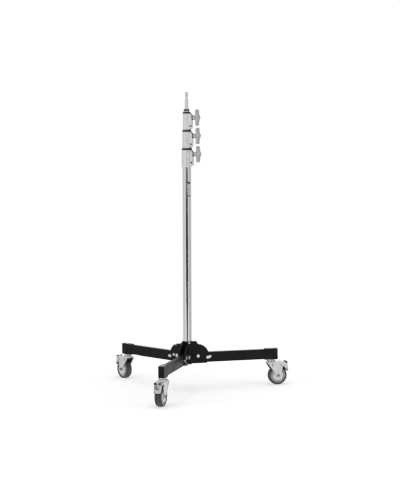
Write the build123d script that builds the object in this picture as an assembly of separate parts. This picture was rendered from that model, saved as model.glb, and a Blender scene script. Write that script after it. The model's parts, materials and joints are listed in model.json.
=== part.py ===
from build123d import *
import os
from math import cos, radians, sin

# Roller stand: a fixed column, three telescopic risers with T-handle collars, a
# folding three-leg base with notched hub brackets, and three braked swivel casters.
# Millimetres, +Z up. Pieces are made with the column axis on Z and the floor at
# Z = 0; export then moves them so that the middle of the bounding box's underside
# is the origin.

# ---- Column and risers: number 1 is the fixed column, 4 the top riser ----
TUBE_OD = {1: 40.0, 2: 35.0, 3: 30.0, 4: 25.0}
TUBE_WALL = 1.5
RUNNING_GAP = 0.05            # radial clearance of every running fit
FREE_GAP = 0.3                # clearance where two moving pieces only face each other
HUB_BOTTOM_Z = 116.0
COLUMN_TOP_Z = 1064.0
STAGE_PITCH = 80.4            # each riser's top stands this much above the last
RISER_BOTTOM_Z = 154.0        # lowest riser; the others follow at the stage pitch
RISER_TRAVEL = 780.0
TOP_TUBE_END_Z = 1236.0

# ---- Bushes, collars and clamps at the top of tubes 1, 2 and 3 ----
STAGES = (1, 2, 3)
RING_OD = {1: 43.6, 2: 38.4, 3: 33.8}
RING_HEIGHT = 8.2
RING_CHIN = {1: 1.4, 2: 0.9, 3: 0.4}        # how far the chin over the lug sticks out
RING_CHIN_RISE = {1: 3.0, 2: 3.0, 3: -0.8}
TONGUE = 1.6                  # black tongue on the lug's sloped top
LUG_CLEARANCE = 4.5           # lug bottom above the bottom of its collar
BUSH_LENGTH = 50.0
COLLAR_OD = {1: 46.0, 2: 40.5, 3: 35.0}
COLLAR_HEIGHT = {1: 74.3, 2: 71.9, 3: 71.9}
KNOB_AZIMUTH = -11.0
KNOB_DROP = 18.0              # clamp axis below the underside of the ring
LUG_WIDTH = 18.0
LUG_REACH = {1: 32.5, 2: 30.5, 3: 28.5}     # lug face, from the column axis
LUG_SLIT = 2.0
LUG_SLIT_TOP = 38.0           # top of the slit below the ring
BOSS_R = 9.0
BOSS_LENGTH = 4.0             # boss beyond the lug face
CROSS_BOLT_DROP = 54.5
CROSS_BOLT_INSET = 5.4        # cross bolt, back from the lug face
CROSS_BOLT_R = 2.5
CROSS_HEAD_R = 4.25
CROSS_NUT = 8.0
PAD_R = 6.0
PAD_BACK = 22.5
PAD_SOCKET_DEPTH = 2.4
PAD_TRAVEL = 1.5              # one turn of the handle
STUD_R = 4.0
STUD_TIP_R = 2.5
HANDLE_HUB_R = 10.5
HANDLE_REACH = 23.2           # middle of the arms beyond the lug face
HANDLE_ARM_THICKNESS = 15.2
HANDLE_HUB_LENGTH = 12.0      # hub beyond the middle of the arms
HANDLE_HEIGHT = 71.6
HANDLE_TIP_WIDTH = 23.0
HANDLE_WAIST_WIDTH = 20.0

# ---- Spigot: a 16 mm (5/8 inch) baby pin ----
SPIGOT_R = 8.0
BUMPER_TOP_Z = 1244.4
BUMPER_R = 12.8
SPIGOT_FLANGE_R = 11.5
SPIGOT_FLANGE_TOP_Z = 1246.9
SPIGOT_SHANK_TOP_Z = 1289.0
SPIGOT_NECK_R = 5.4
SPIGOT_NECK_TOP_Z = 1295.5
SPIGOT_CONE_TOP_Z = 1310.0
SPIGOT_TOP_Z = 1319.6

# ---- Label plate on the column ----
LABEL_AZIMUTH = -45.0
LABEL_ARC = 44.0
LABEL_Z = (860.5, 924.5)
LABEL_THICKNESS = 0.4

# ---- Hub and leg brackets, in each leg's frame: X outward, Y sideways ----
LEG_ANGLE = {"right": 30.0, "left": 150.0, "front": 270.0}
HUB_R = 24.0
HUB_TOP_Z = 215.0
PIVOT_X = 44.0
PIVOT_Z = 148.0
SECTOR_R = 52.0
BRACKET_TOP_Z = 200.0
CHEEK_INNER = 10.8
CHEEK_OUTER = 14.8
SHOULDER_TOP_Z = 214.6        # only the cheek on the clockwise side has this shoulder
SHOULDER_END_X = 40.0
WEB_OUTER_X = 28.0
PIVOT_BOSS_R = 12.0
PIVOT_BOSS_FACE = 19.0
PIVOT_HEAD_R = 7.35
PIVOT_BOLT_R = 5.0
RIVET_X = 71.0
HUB_SCREW_OFFSET = 33.0       # degrees round from each leg
HUB_SCREW_Z = 208.5

# ---- Leg lock: a cross pin that slides along the leg into the brackets' notches ----
PIN_R = 3.0
PIN_Z = 140.5
NOTCH_GAP = 0.3
PIN_LOCKED_X = PIVOT_X + 48.8
LOCK_TRAVEL = 6.2
NOTCH_FOLDS = (0.0, 79.0)     # legs down, legs folded up
NOTCH_SPARE = 2.3             # depth left under the pin
NOTCH_FLARE = 4.4             # widening of the mouth on each side, past the rim
LEVER_END_X = 87.0            # round end of the lever
LEVER_TIP = (104.5, 147.0)

# ---- Legs ----
LEG_HEIGHT = 44.0
LEG_WIDTH = 20.0
LEG_WALL = 2.0
LEG_Z = 140.5
LEG_INNER_R = 15.0            # rounding of the inner end about the pivot
LEG_END_X = 419.5
SOCKET_X = (363.5, 423.5)
SOCKET_HEIGHT = 49.0
SOCKET_WIDTH = 24.5
STEM_X = 394.0

# ---- Casters, in each caster's frame: stem on Z, wheel trailing along +X ----
CASTER_YAW = {"right": 30.0, "left": 142.0, "front": 267.0}
TRAIL = 30.0
WHEEL_R = 42.0
WHEEL_WIDTH = 28.0
TYRE_INNER_R = 30.0
STEM_R = 6.0
FORK_TOP_Z = 102.0
FORK_PLATE = 2.5
FORK_INNER = 17.0
FORK_SLOT = (2.5, 91.0)       # upright slot in each plate, beside the stem
FORK_SLOT_LENGTH = 11.0
CUP_TOP_Z = 107.5
CUP_R = 19.0
RACE_R = 15.0
PEDAL_PIVOT = (43.0, 88.0)
PEDAL_PIN_R = 3.0
PEDAL_WIDTH = 29.0
PEDAL_FLANGE = 2.2
PEDAL_TIP = (70.6, 99.7)
SHOE_GAP = 0.4                # brake shoe off the tyre, brake on

# ---- Worked-out places ----
LEGS = tuple(LEG_ANGLE)
RISERS = (2, 3, 4)
PIN_FREE_X = PIN_LOCKED_X + LOCK_TRAVEL
TOP_OF_TUBE = {n: COLUMN_TOP_Z + STAGE_PITCH * (n - 1) for n in STAGES}
TOP_OF_TUBE[4] = TOP_TUBE_END_Z
BOTTOM_OF_RISER = {n: RISER_BOTTOM_Z + STAGE_PITCH * (n - 2) for n in RISERS}
KNOB_Z = {n: TOP_OF_TUBE[n] - KNOB_DROP for n in STAGES}


# ======================= small shapes =======================

def bar_z(radius, z_low, z_high, x=0.0, y=0.0):
    """Round bar along Z."""
    return Pos(x, y, (z_low + z_high) / 2) * Cylinder(radius, z_high - z_low)


def bar_x(radius, x_low, x_high, z=0.0, y=0.0):
    """Round bar along X."""
    return Pos((x_low + x_high) / 2, y, z) * Rot(0, 90, 0) * Cylinder(radius, x_high - x_low)


def bar_y(radius, y_low, y_high, x=0.0, z=0.0):
    """Round bar along Y."""
    return Pos(x, (y_low + y_high) / 2, z) * Rot(90, 0, 0) * Cylinder(radius, y_high - y_low)


def block(x, y, z):
    """Box between the low and high ends of three pairs."""
    size = [high - low for low, high in (x, y, z)]
    middle = [(high + low) / 2 for low, high in (x, y, z)]
    return Pos(*middle) * Box(*size)


def window(x, y):
    """Flat rectangle between the low and high ends of two pairs."""
    return Pos((x[0] + x[1]) / 2, (y[0] + y[1]) / 2) * Rectangle(x[1] - x[0], y[1] - y[0])


def upright(outline, y_low, y_high):
    """Extrude a flat outline, read as X and Z, between two Y places."""
    sheet = extrude(Plane.XZ * outline, amount=(y_high - y_low) / 2, both=True)
    return Pos(0, (y_low + y_high) / 2, 0) * sheet


def polygon(*points):
    """Flat face from its corners."""
    return make_face(Polyline(*points, close=True))


def turned(*points):
    """Solid of revolution about Z from its half outline of radius and height."""
    return revolve(Plane.XZ * polygon(*points), Axis.Z)


def hex_y(width, y_low, y_high, x, z):
    """Hexagonal nut or head along Y, given its width across flats."""
    return upright(Pos(x, z) * RegularPolygon(width / 2, 6, major_radius=False), y_low, y_high)


def rims(shape):
    """Circular edges of a round bar."""
    return shape.edges().filter_by(GeomType.CIRCLE)


def tube_bore(n):
    """Inner radius of tube n."""
    return TUBE_OD[n] / 2 - TUBE_WALL


def to_knob(shape):
    """Turn a shape made along +X to the side where the clamp handles are."""
    return Rot(0, 0, KNOB_AZIMUTH) * shape


def to_leg(shape, leg):
    """Turn a shape made along +X to a leg's direction."""
    return Rot(0, 0, LEG_ANGLE[leg]) * shape


def stem_place(leg):
    """Foot of a caster's swivel axis."""
    angle = radians(LEG_ANGLE[leg])
    return STEM_X * cos(angle), STEM_X * sin(angle)


def to_caster(shape, leg):
    """Move a shape made about the stem axis to a leg's caster."""
    x, y = stem_place(leg)
    return Pos(x, y, 0) * Rot(0, 0, CASTER_YAW[leg]) * shape


# ======================= column and risers =======================

def pad_window(n):
    """Round hole on the clamp side that lets the pad reach the riser."""
    return to_knob(bar_x(PAD_R + 0.6, 0, LUG_REACH[n], KNOB_Z[n]))


def tube(n):
    """Tube n with the clamp pad's window near its top."""
    bottom = HUB_BOTTOM_Z if n == 1 else BOTTOM_OF_RISER[n]
    body = bar_z(TUBE_OD[n] / 2, bottom, TOP_OF_TUBE[n])
    body -= bar_z(tube_bore(n), bottom - 1, TOP_OF_TUBE[n] + 1)
    if n in STAGES:
        body -= pad_window(n)
    return body


def column_plug():
    """Closes the lower end of the column."""
    return turned(
        (0, HUB_BOTTOM_Z - 3),
        (TUBE_OD[1] / 2, HUB_BOTTOM_Z - 3),
        (TUBE_OD[1] / 2, HUB_BOTTOM_Z),
        (tube_bore(1), HUB_BOTTOM_Z),
        (tube_bore(1), HUB_BOTTOM_Z + 10),
        (0, HUB_BOTTOM_Z + 10),
    )


def chin_outline(n):
    """Side view of the ring's chin and of the tongue that runs down the lug's slope."""
    top = TOP_OF_TUBE[n]
    barrel = COLLAR_OD[n] / 2
    reach = RING_OD[n] / 2 + RING_CHIN[n]
    high = top + RING_HEIGHT + RING_CHIN_RISE[n]
    end_x = LUG_REACH[n] - 1.0
    end_z = slope_height(n, end_x)
    return polygon((0, top), (barrel - 0.8, top), (barrel + 1.0, slope_height(n, barrel + 1.0)),
                   (end_x, end_z), (end_x, end_z + TONGUE), (barrel + 1.0, top + 1.3),
                   (reach, top + 2.5), (reach, high), (0, high))


def bush(n):
    """Plastic bush: a sleeve inside tube n under a flange ring with a chin over the lug."""
    top = TOP_OF_TUBE[n]
    bore = TUBE_OD[n + 1] / 2 + RUNNING_GAP
    ring = bar_z(RING_OD[n] / 2, top, top + RING_HEIGHT)
    ring = chamfer(rims(ring), 0.8)
    chin = upright(chin_outline(n), -6, 6)
    if n + 1 in STAGES:
        chin -= bar_z(COLLAR_OD[n + 1] / 2 + 0.5, top + RING_HEIGHT, top + 20)
    sleeve = bar_z(tube_bore(n), top - BUSH_LENGTH, top)
    body = ring + to_knob(chin) + sleeve
    body -= bar_z(bore, top - BUSH_LENGTH - 1, top + RING_HEIGHT + 1)
    return body - pad_window(n)


def slope_height(n, x):
    """Height of the lug's sloped top at a distance from the column's axis."""
    top = TOP_OF_TUBE[n]
    start_x = COLLAR_OD[n] / 2 + 1.0
    share = (x - start_x) / (LUG_REACH[n] - start_x)
    return top - 0.5 - share * (KNOB_DROP - BOSS_R - 0.5)


def lug_outline(n):
    """Side view of the clamp lug: sloped top, flat face, rounded lower corner."""
    top = TOP_OF_TUBE[n]
    face = LUG_REACH[n]
    bottom = top - COLLAR_HEIGHT[n] + LUG_CLEARANCE
    start_x = COLLAR_OD[n] / 2 + 1.0
    outline = polygon((0, bottom), (face, bottom), (face, slope_height(n, face)),
                      (start_x, slope_height(n, start_x)), (0, top - 0.5))
    lower_corner = outline.vertices().filter_by(
        lambda v: abs(v.X - face) < 0.1 and abs(v.Y - bottom) < 0.1)
    return fillet(lower_corner, 9.0)


def collar(n):
    """Cast collar round the top of tube n, slit and cross-bolted, with a bored lug."""
    top = TOP_OF_TUBE[n]
    bottom = top - COLLAR_HEIGHT[n]
    boss_end = LUG_REACH[n] + BOSS_LENGTH
    barrel = bar_z(COLLAR_OD[n] / 2, bottom, top)
    barrel = chamfer(rims(barrel), 0.8)
    lug = upright(lug_outline(n), -LUG_WIDTH / 2, LUG_WIDTH / 2)
    lug = fillet(lug.edges().filter_by(Axis.Z), 2.5)
    boss = bar_x(BOSS_R, 0, boss_end, KNOB_Z[n])
    body = to_knob(lug + boss) + barrel
    cuts = block((0, boss_end), (-LUG_SLIT / 2, LUG_SLIT / 2), (bottom - 1, top - LUG_SLIT_TOP))
    cuts += bar_x(PAD_R + 0.1, 0, PAD_BACK + PAD_TRAVEL + 0.4, KNOB_Z[n])
    cuts += bar_x(STUD_R + RUNNING_GAP, 0, boss_end + 1, KNOB_Z[n])
    bolt_x = LUG_REACH[n] - CROSS_BOLT_INSET
    bolt_z = top - CROSS_BOLT_DROP
    half = LUG_WIDTH / 2
    cuts += bar_y(CROSS_BOLT_R, -half - 1, half + 1, bolt_x, bolt_z)
    cuts += bar_y(CROSS_HEAD_R, -half - 1, -half + 4, bolt_x, bolt_z)
    cuts += hex_y(CROSS_NUT, half - 3.5, half + 1, bolt_x, bolt_z)
    body -= to_knob(cuts)
    return body - bar_z(TUBE_OD[n] / 2, bottom - 1, top + 1)


def clamp_bolt(n):
    """Cap screw and nut that squeeze the collar's slit: two solids."""
    bolt_x = LUG_REACH[n] - CROSS_BOLT_INSET
    bolt_z = TOP_OF_TUBE[n] - CROSS_BOLT_DROP
    half = LUG_WIDTH / 2
    screw = bar_y(CROSS_HEAD_R, -half + 0.4, -half + 4, bolt_x, bolt_z)
    screw -= hex_y(4.0, -half, -half + 2.6, bolt_x, bolt_z)
    screw += bar_y(CROSS_BOLT_R, -half + 3.5, half, bolt_x, bolt_z)
    nut = hex_y(CROSS_NUT, half - 3.5, half, bolt_x, bolt_z)
    nut -= bar_y(CROSS_BOLT_R, half - 4.5, half + 1, bolt_x, bolt_z)
    return [to_knob(screw), to_knob(nut)]


def clamp_pad(n):
    """Round pad with a hollow face that the handle's stud pushes on the riser."""
    tip = TUBE_OD[n + 1] / 2 + FREE_GAP
    pad = bar_x(PAD_R, 0, PAD_BACK, KNOB_Z[n])
    pad -= bar_z(tip, KNOB_Z[n] - PAD_R - 1, KNOB_Z[n] + PAD_R + 1)
    pad -= bar_x(STUD_TIP_R + RUNNING_GAP, PAD_BACK - PAD_SOCKET_DEPTH, PAD_BACK + 1, KNOB_Z[n])
    return to_knob(pad)


def handle_face():
    """The T-handle's arms seen along its axis: widest at the tips."""
    half = HANDLE_HEIGHT / 2
    tip = HANDLE_TIP_WIDTH / 2
    waist = HANDLE_WAIST_WIDTH / 2
    outline = polygon((tip, half), (waist, half * 0.45), (waist, -half * 0.45), (tip, -half),
                      (-tip, -half), (-waist, -half * 0.45), (-waist, half * 0.45), (-tip, half))
    outer = outline.vertices().filter_by(lambda v: abs(v.Y) > half - 0.1)
    return fillet(outer, 3.5)


def handle_side(middle):
    """The arms seen from the side: flat at the back, swelling to the hub at the front."""
    half = HANDLE_HEIGHT / 2
    back = middle - HANDLE_ARM_THICKNESS / 2
    front = middle + HANDLE_ARM_THICKNESS / 2
    crown = middle + HANDLE_HUB_LENGTH - 1.5
    return polygon((back, -half), (front, -half), (front, -21), (crown, -8), (crown, 8),
                   (front, 21), (front, half), (back, half))


def t_handle(n):
    """Alloy T-handle and the threaded stud moulded into it: two solids."""
    middle = LUG_REACH[n] + HANDLE_REACH
    start = LUG_REACH[n] + BOSS_LENGTH + FREE_GAP
    end = middle + HANDLE_HUB_LENGTH
    arms = extrude(Plane.YZ.offset(middle - 20) * handle_face(), amount=40)
    arms &= upright(handle_side(middle), -20, 20)
    hub = bar_x(HANDLE_HUB_R, start, end)
    hub = chamfer(rims(hub), 1.5)
    body = arms + hub
    body -= bar_x(STUD_R, start - 1, end - 2.5)
    body -= bar_x(STUD_R + 0.6, end - 2.5, end + 1)
    shoulder = PAD_BACK + FREE_GAP
    stud = bar_x(STUD_R, shoulder, end - 2.5)
    stud += bar_x(STUD_TIP_R, PAD_BACK - PAD_SOCKET_DEPTH + FREE_GAP, shoulder)
    return [to_knob(Pos(0, 0, KNOB_Z[n]) * piece) for piece in (body, stud)]


def guide(n):
    """Foot of riser n: a flange that runs in the tube outside and a spigot inside the riser."""
    bottom = BOTTOM_OF_RISER[n]
    flange = bar_z(tube_bore(n - 1) - RUNNING_GAP, bottom - 20, bottom - FREE_GAP)
    spigot = bar_z(tube_bore(n) - RUNNING_GAP, bottom - FREE_GAP, bottom + 35)
    body = chamfer(rims(flange), 0.6) + spigot
    return body - bar_z(5.0, bottom - 21, bottom + 36)


def top_bumper():
    """Rubber ring on the end of the top riser."""
    ring = bar_z(BUMPER_R, TOP_TUBE_END_Z, BUMPER_TOP_Z)
    ring = fillet(rims(ring), 1.2)
    return ring - bar_z(9.0, TOP_TUBE_END_Z - 1, BUMPER_TOP_Z + 1)


def spigot():
    """Baby pin with a safety neck, rooted in the top riser."""
    root_r = tube_bore(4)
    return turned(
        (0, TOP_TUBE_END_Z - 45),
        (root_r, TOP_TUBE_END_Z - 45),
        (root_r, TOP_TUBE_END_Z),
        (9.0, TOP_TUBE_END_Z),
        (9.0, BUMPER_TOP_Z),
        (SPIGOT_FLANGE_R, BUMPER_TOP_Z),
        (SPIGOT_FLANGE_R, SPIGOT_FLANGE_TOP_Z - 0.6),
        (SPIGOT_FLANGE_R - 0.6, SPIGOT_FLANGE_TOP_Z),
        (SPIGOT_R, SPIGOT_FLANGE_TOP_Z),
        (SPIGOT_R, SPIGOT_SHANK_TOP_Z),
        (SPIGOT_NECK_R, SPIGOT_SHANK_TOP_Z + 1.0),
        (SPIGOT_NECK_R, SPIGOT_NECK_TOP_Z),
        (SPIGOT_R, SPIGOT_CONE_TOP_Z),
        (SPIGOT_R, SPIGOT_TOP_Z - 1.2),
        (SPIGOT_R - 1.2, SPIGOT_TOP_Z),
        (0, SPIGOT_TOP_Z),
    )


def label_plate():
    """Thin blank plate that follows the column's surface."""
    low, high = LABEL_Z
    shell = bar_z(TUBE_OD[1] / 2 + LABEL_THICKNESS, low, high)
    shell -= bar_z(TUBE_OD[1] / 2, low - 1, high + 1)
    reach = TUBE_OD[1]
    half = radians(LABEL_ARC / 2)
    wedge = polygon((0, 0), (reach * cos(half), -reach * sin(half)), (reach * cos(half), reach * sin(half)))
    wedge = Pos(0, 0, low) * extrude(wedge, amount=high - low)
    return Rot(0, 0, LABEL_AZIMUTH) * (shell & wedge)


# ======================= hub and legs =======================

def hub_screw_angles():
    """Directions of the three screws that hold the column in the hub."""
    return [LEG_ANGLE[leg] + HUB_SCREW_OFFSET for leg in LEGS]


def hub_sleeve():
    """Sleeve round the foot of the column, drilled for three screws."""
    body = bar_z(HUB_R, HUB_BOTTOM_Z, HUB_TOP_Z)
    body = chamfer(rims(body).sort_by(Axis.Z)[-1:], 1.0)
    body -= bar_z(TUBE_OD[1] / 2, HUB_BOTTOM_Z - 1, HUB_TOP_Z + 1)
    for angle in hub_screw_angles():
        body -= Rot(0, 0, angle) * bar_x(2.5, 10, HUB_R + 1, HUB_SCREW_Z)
    return body


def hub_screws():
    """Three button-head screws, one solid each."""
    bore = bar_z(TUBE_OD[1] / 2, HUB_BOTTOM_Z, HUB_TOP_Z)
    sleeve = bar_z(HUB_R, HUB_BOTTOM_Z, HUB_TOP_Z)
    head = bar_x(4.2, 18, HUB_R + 3.0, HUB_SCREW_Z)
    head = fillet(rims(head).sort_by(Axis.X)[-1:], 1.5)
    head -= bar_x(1.6, HUB_R + 1.5, HUB_R + 4, HUB_SCREW_Z)
    screw = (head - sleeve) + (bar_x(2.5, 10, HUB_R + 0.5, HUB_SCREW_Z) - bore)
    return [Rot(0, 0, angle) * screw for angle in hub_screw_angles()]


def notch(fold):
    """Flared slot in the bracket's rim that takes the lock pin at one fold angle."""
    half = PIN_R + NOTCH_GAP
    seat = PIN_LOCKED_X - PIVOT_X - NOTCH_SPARE
    mouth = SECTOR_R + 4
    slot = Circle(half)
    slot += polygon((0, -half), (2, -half), (mouth - seat, -half - NOTCH_FLARE),
                    (mouth - seat, half + NOTCH_FLARE), (2, half), (0, half))
    return Pos(PIVOT_X, PIVOT_Z) * Rot(0, 0, fold) * Pos(seat, PIN_Z - PIVOT_Z) * slot


def cheek_outline():
    """Side view of a bracket cheek: a notched sector on a straight back."""
    back_x = HUB_R - 6
    outline = Pos(PIVOT_X, PIVOT_Z) * Circle(SECTOR_R)
    outline &= window((back_x, PIVOT_X + SECTOR_R), (HUB_BOTTOM_Z, BRACKET_TOP_Z))
    outline += window((back_x, PIVOT_X), (HUB_BOTTOM_Z, BRACKET_TOP_Z))
    for fold in NOTCH_FOLDS:
        outline -= notch(fold)
    return outline


def shoulder_outline():
    """Raised shoulder next to the column on one cheek."""
    back_x = HUB_R - 6
    return polygon((back_x, BRACKET_TOP_Z - 2), (SHOULDER_END_X + 3, BRACKET_TOP_Z - 2),
                   (SHOULDER_END_X, SHOULDER_TOP_Z - 3), (SHOULDER_END_X - 3, SHOULDER_TOP_Z),
                   (back_x, SHOULDER_TOP_Z))


def leg_bracket(leg):
    """Two notched cheeks joined by a web against the hub sleeve."""
    body = upright(cheek_outline(), CHEEK_INNER, CHEEK_OUTER)
    body += upright(cheek_outline() + shoulder_outline(), -CHEEK_OUTER, -CHEEK_INNER)
    body += block((HUB_R - 6, WEB_OUTER_X), (-CHEEK_INNER, CHEEK_INNER), (HUB_BOTTOM_Z, BRACKET_TOP_Z))
    body += bar_y(PIVOT_BOSS_R, -PIVOT_BOSS_FACE, -CHEEK_OUTER, PIVOT_X, PIVOT_Z)
    body += bar_y(PIVOT_BOSS_R, CHEEK_OUTER, CHEEK_OUTER + 2, PIVOT_X, PIVOT_Z)
    body -= bar_y(PIVOT_BOLT_R, -PIVOT_BOSS_FACE - 1, PIVOT_BOSS_FACE, PIVOT_X, PIVOT_Z)
    body -= bar_y(3.0, CHEEK_INNER - 1, CHEEK_OUTER + 1, RIVET_X, PIVOT_Z)
    body -= bar_z(HUB_R, HUB_BOTTOM_Z - 1, HUB_TOP_Z)
    return to_leg(body, leg)


def pivot_bolt():
    """Leg pivot bolt with a domed head, and its nut: two solids."""
    head = bar_y(PIVOT_HEAD_R, -PIVOT_BOSS_FACE - 4, -PIVOT_BOSS_FACE, PIVOT_X, PIVOT_Z)
    head = fillet(rims(head).sort_by(Axis.Y)[:1], 1.8)
    head -= hex_y(6.0, -PIVOT_BOSS_FACE - 5, -PIVOT_BOSS_FACE - 2, PIVOT_X, PIVOT_Z)
    nut_face = CHEEK_OUTER + 2
    bolt = head + bar_y(PIVOT_BOLT_R, -PIVOT_BOSS_FACE, nut_face + 9, PIVOT_X, PIVOT_Z)
    nut = hex_y(15.0, nut_face, nut_face + 7, PIVOT_X, PIVOT_Z)
    nut -= bar_y(PIVOT_BOLT_R, nut_face - 1, nut_face + 10, PIVOT_X, PIVOT_Z)
    return [bolt, nut]


def pivot_bolts():
    """The three legs' pivot bolts and nuts."""
    return [to_leg(piece, leg) for leg in LEGS for piece in pivot_bolt()]


def bracket_rivets():
    """Round-headed rivet in the plain cheek of each bracket."""
    head = bar_y(6.0, CHEEK_OUTER, CHEEK_OUTER + 2.6, RIVET_X, PIVOT_Z)
    head = fillet(rims(head).sort_by(Axis.Y)[-1:], 1.8)
    rivet = head + bar_y(3.0, CHEEK_INNER, CHEEK_OUTER, RIVET_X, PIVOT_Z)
    return [to_leg(rivet, leg) for leg in LEGS]


def leg_tube(leg):
    """Rectangular tube with a rounded inner end, a pivot bush and slots for the lock pin."""
    start = PIVOT_X - LEG_INNER_R
    outer = Plane.YZ.offset(start) * (Pos(0, LEG_Z) * RectangleRounded(LEG_WIDTH, LEG_HEIGHT, 3.0))
    inner_size = (LEG_WIDTH - 2 * LEG_WALL, LEG_HEIGHT - 2 * LEG_WALL)
    inner = Plane.YZ.offset(start) * (Pos(0, LEG_Z) * RectangleRounded(*inner_size, 1.2))
    body = extrude(outer, amount=LEG_END_X - start) - extrude(inner, amount=LEG_END_X - start)
    body += bar_y(8.0, -LEG_WIDTH / 2 + 1, LEG_WIDTH / 2 - 1, PIVOT_X, PIVOT_Z)
    keep = window((PIVOT_X, LEG_END_X), (0, PIVOT_Z + LEG_HEIGHT))
    keep += window((start, PIVOT_X), (0, PIVOT_Z))
    keep += Pos(PIVOT_X, PIVOT_Z) * Circle(LEG_INNER_R)
    body &= upright(keep, -LEG_WIDTH, LEG_WIDTH)
    body -= bar_y(PIVOT_BOLT_R + RUNNING_GAP, -LEG_WIDTH, LEG_WIDTH, PIVOT_X, PIVOT_Z)
    slot = bar_y(PIN_R + RUNNING_GAP, -LEG_WIDTH, LEG_WIDTH, PIN_LOCKED_X - 0.1, PIN_Z)
    slot += bar_y(PIN_R + RUNNING_GAP, -LEG_WIDTH, LEG_WIDTH, PIN_FREE_X + 0.1, PIN_Z)
    slot += block((PIN_LOCKED_X, PIN_FREE_X), (-LEG_WIDTH, LEG_WIDTH),
                  (PIN_Z - PIN_R - RUNNING_GAP, PIN_Z + PIN_R + RUNNING_GAP))
    body -= slot
    body -= bar_z(STEM_R, LEG_Z - LEG_HEIGHT, LEG_Z + LEG_HEIGHT, STEM_X)
    return to_leg(body, leg)


def caster_socket(leg):
    """Cap over the end of the leg, bored for the caster's stem."""
    low_x, high_x = SOCKET_X
    z_low = LEG_Z - SOCKET_HEIGHT / 2
    z_high = LEG_Z + SOCKET_HEIGHT / 2
    outline = polygon((low_x, z_low), (high_x - 5, z_low), (high_x, z_low + 5), (high_x, z_high),
                      (low_x, z_high))
    body = upright(outline, -SOCKET_WIDTH / 2, SOCKET_WIDTH / 2)
    body = fillet(body.edges().filter_by(Axis.Z), 2.5)
    leg_space = Plane.YZ.offset(low_x - 1) * (Pos(0, LEG_Z) * RectangleRounded(LEG_WIDTH, LEG_HEIGHT, 3.0))
    body -= extrude(leg_space, amount=LEG_END_X - low_x + 1)
    body -= bar_z(STEM_R, z_low - 1, z_high + 1, STEM_X)
    return to_leg(body, leg)


def lever_outline():
    """Teardrop lever: a round end, a narrow tip and room for the cross pin."""
    tip_x, tip_z = LEVER_TIP
    outline = Pos(LEVER_END_X, PIN_Z) * Circle(6.2)
    outline += Pos(tip_x, tip_z) * Circle(2.2)
    outline += Pos(PIN_FREE_X, PIN_Z + 1.5) * Circle(4.6)
    return make_hull(outline.edges())


def lock_pin(leg):
    """Cross pin through the leg with a boss and a teardrop lever, and a plate on its far end."""
    boss_face = CHEEK_OUTER + 3.2
    pin = bar_y(PIN_R, -boss_face, CHEEK_OUTER + 3.0, PIN_FREE_X, PIN_Z)
    boss = bar_y(5.0, -boss_face, -CHEEK_OUTER - 0.7, PIN_FREE_X, PIN_Z)
    lever = upright(lever_outline(), -boss_face - 4, -boss_face)
    lever = fillet(lever.faces().sort_by(Axis.Y)[0].edges(), 1.2)
    far_plate = Pos((LEVER_END_X + PIN_FREE_X) / 2 + 2, PIN_Z)
    far_plate *= SlotOverall(PIN_FREE_X - LEVER_END_X + 8, 11.0)
    plate = upright(far_plate, CHEEK_OUTER + 0.7, CHEEK_OUTER + 3.2)
    return to_leg(pin + boss + lever + plate, leg)


# ======================= casters =======================

def swivel_stem(leg):
    """Stem fixed in the leg, with the upper race and a lower head, and its nut: two solids."""
    socket_low = LEG_Z - SOCKET_HEIGHT / 2
    socket_high = LEG_Z + SOCKET_HEIGHT / 2
    stem = turned(
        (0, FORK_TOP_Z - 7),
        (7.5, FORK_TOP_Z - 7),
        (8.5, FORK_TOP_Z - 6),
        (8.5, FORK_TOP_Z - FORK_PLATE - 0.5),
        (STEM_R, FORK_TOP_Z - FORK_PLATE - 0.5),
        (STEM_R, FORK_TOP_Z + 2),
        (RACE_R - 3, FORK_TOP_Z + 2),
        (RACE_R, FORK_TOP_Z + 4),
        (RACE_R, socket_low - 1),
        (RACE_R - 2, socket_low),
        (STEM_R, socket_low),
        (STEM_R, socket_high + 1.6),
        (0, socket_high + 1.6),
    )
    nut = bar_z(9.0, socket_high, socket_high + 2.2)
    nut = fillet(rims(nut).sort_by(Axis.Z)[-1:], 1.2)
    nut -= bar_z(STEM_R, socket_high - 1, socket_high + 3)
    return [to_caster(piece, leg) for piece in (stem, nut)]


def fork_outline():
    """Side view of a fork plate: a wide top that narrows to the axle."""
    pivot_x, pivot_z = PEDAL_PIVOT
    top = FORK_TOP_Z - 1
    outline = polygon((-18.0, top), (51.0, top), (52.0, 96.0), (pivot_x + 6, 74.0), (TRAIL + 13, 45.0),
                      (TRAIL - 12, 36.0), (TRAIL - 14, 49.0), (-18.0, 98.0))
    outline += Pos(TRAIL, WHEEL_R) * Circle(13.5)
    outline -= Pos(*FORK_SLOT) * SlotCenterToCenter(FORK_SLOT_LENGTH, 3.6, rotation=90)
    return outline


def fork(leg):
    """Pressed fork: two side plates under a top plate that carries the lower race cup."""
    outer = FORK_INNER + FORK_PLATE
    body = upright(fork_outline(), FORK_INNER, outer)
    body += upright(fork_outline(), -outer, -FORK_INNER)
    top = block((-18.0, 51.0), (-outer, outer), (FORK_TOP_Z - FORK_PLATE, FORK_TOP_Z))
    top = fillet(top.edges().filter_by(Axis.Z), 6.0)
    body += top
    cup = bar_z(CUP_R, FORK_TOP_Z - 1, CUP_TOP_Z)
    body += fillet(rims(cup).sort_by(Axis.Z)[-1:], 1.5)
    body -= bar_z(RACE_R + 0.4, FORK_TOP_Z + 1.6, CUP_TOP_Z + 1)
    body -= bar_z(STEM_R + RUNNING_GAP, FORK_TOP_Z - 4, FORK_TOP_Z + 3)
    body -= bar_y(4.0, -outer - 1, outer + 1, TRAIL, WHEEL_R)
    body -= bar_y(PEDAL_PIN_R, -outer - 1, outer + 1, *PEDAL_PIVOT)
    return to_caster(body, leg)


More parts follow.
